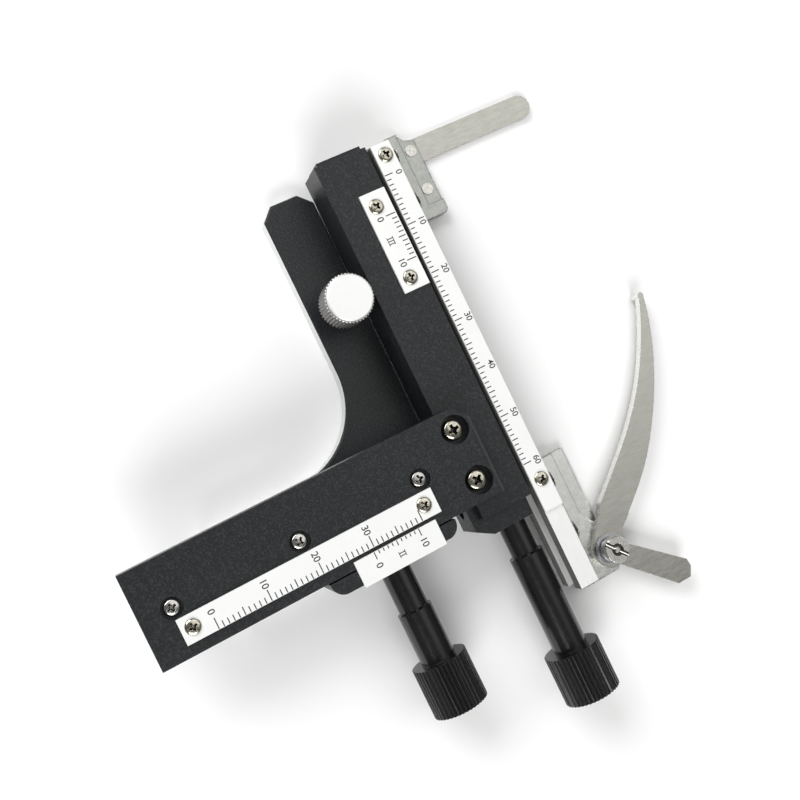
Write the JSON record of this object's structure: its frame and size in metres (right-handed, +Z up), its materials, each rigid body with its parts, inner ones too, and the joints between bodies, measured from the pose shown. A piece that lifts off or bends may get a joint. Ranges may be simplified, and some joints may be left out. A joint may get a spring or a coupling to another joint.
{
  "type": "microscope mechanical stage",
  "caption": "Clamp-on microscope stage: geared Y slide, lead-screw X slide, vernier scales and a spring finger holding the glass slide.",
  "frame": {"origin": "on the underside of the base, straight below the axis of the Y drive", "axes": "+X along the long scale, +Y along the short scale towards the glass slide, +Z up from the stage surface"},
  "size_m": [0.115, 0.1186, 0.0195],
  "materials": {
    "black_paint": "fine textured satin",
    "scale_plate": "satin",
    "screw_steel": "polished",
    "holder_metal": "satin",
    "finger_steel": "brushed",
    "knob_plastic": "gloss",
    "bush_brass": "satin",
    "drive_steel": "turned",
    "dark_steel": "blackened satin",
    "thumb_screw": "polished knurl"
  },
  "bodies": {
    "base": {"base_plate": "black_paint", "y_guide_block": "black_paint", "guide_screws": "screw_steel", "y_bearing_tube": "drive_steel", "vernier_y": "scale_plate"},
    "y_slide": {"y_bar": "black_paint", "y_rail": "drive_steel", "y_rack": "drive_steel", "y_rail_screws": "screw_steel", "y_scale": "scale_plate", "y_scale_screws": "screw_steel", "cross_screws": "screw_steel", "x_bar": "black_paint", "x_rail": "drive_steel", "x_bar_cover": "dark_steel", "x_end_cap": "dark_steel", "x_end_bush": "bush_brass", "vernier_x": "scale_plate", "vernier_x_screws": "screw_steel", "x_bearing_bracket": "black_paint", "bracket_grub_screw": "dark_steel", "x_bearing_tube": "drive_steel"},
    "x_slide": {"slider": "drive_steel", "x_scale": "scale_plate", "x_scale_screws": "screw_steel", "x_drive_nut": "bush_brass", "finger_bracket": "holder_metal", "slide_finger": "finger_steel", "finger_rivets": "finger_steel", "clip_bracket": "holder_metal", "holder_screws": "screw_steel", "clip_post": "screw_steel", "clip_washer": "finger_steel", "clip_spring": "finger_steel"},
    "spring_finger": {"clip_finger": "finger_steel"},
    "y_drive": {"y_drive_shaft": "drive_steel", "y_pinion": "bush_brass", "y_knob": "knob_plastic"},
    "x_drive": {"x_lead_screw": "drive_steel", "x_knob": "knob_plastic"},
    "clamp_disc": {"clamp_washer": "screw_steel"},
    "clamp_turn": {"clamp_screw": "thumb_screw"}
  },
  "joints": [
    {"name": "y_travel", "type": "slide", "parent": "base", "child": "y_slide", "axis": [0, 1, 0], "range_m": [0, 0.0295]},
    {"name": "x_travel", "type": "slide", "parent": "y_slide", "child": "x_slide", "axis": [1, 0, 0], "range_m": [-0.053, 0.0068]},
    {"name": "y_knob_turn", "type": "hinge", "parent": "base", "child": "y_drive", "pos_m": [0.0375, 0, 0.009], "axis": [-1, 0, 0], "range_deg": [0, 564]},
    {"name": "x_knob_turn", "type": "hinge", "parent": "y_slide", "child": "x_drive", "pos_m": [0.048, 0.0242, 0.0095], "axis": [1, 0, 0], "range_deg": [-154, 1193]},
    {"name": "finger_swing", "type": "hinge", "parent": "x_slide", "child": "spring_finger", "pos_m": [0.032, 0.0426, 0.003], "axis": [0, 0, 1], "range_deg": [-48, 0], "stiffness_Nm_per_rad": 0.02, "springref_deg": 11.46},
    {"name": "clamp_travel", "type": "slide", "parent": "base", "child": "clamp_disc", "axis": [0, 0, 1], "range_m": [-0.005, 0]},
    {"name": "clamp_turning", "type": "hinge", "parent": "clamp_disc", "child": "clamp_turn", "pos_m": [-0.035, 0.0129, 0.01], "axis": [0, 0, 1], "range_deg": [-2572, 0]}
  ],
  "couplings": [
    {"joint": "y_knob_turn", "follows": "y_travel", "rad_per_m": 333.33},
    {"joint": "x_knob_turn", "follows": "x_travel", "rad_per_m": -392.7},
    {"joint": "clamp_turning", "follows": "clamp_travel", "rad_per_m": 8976}
  ]
}
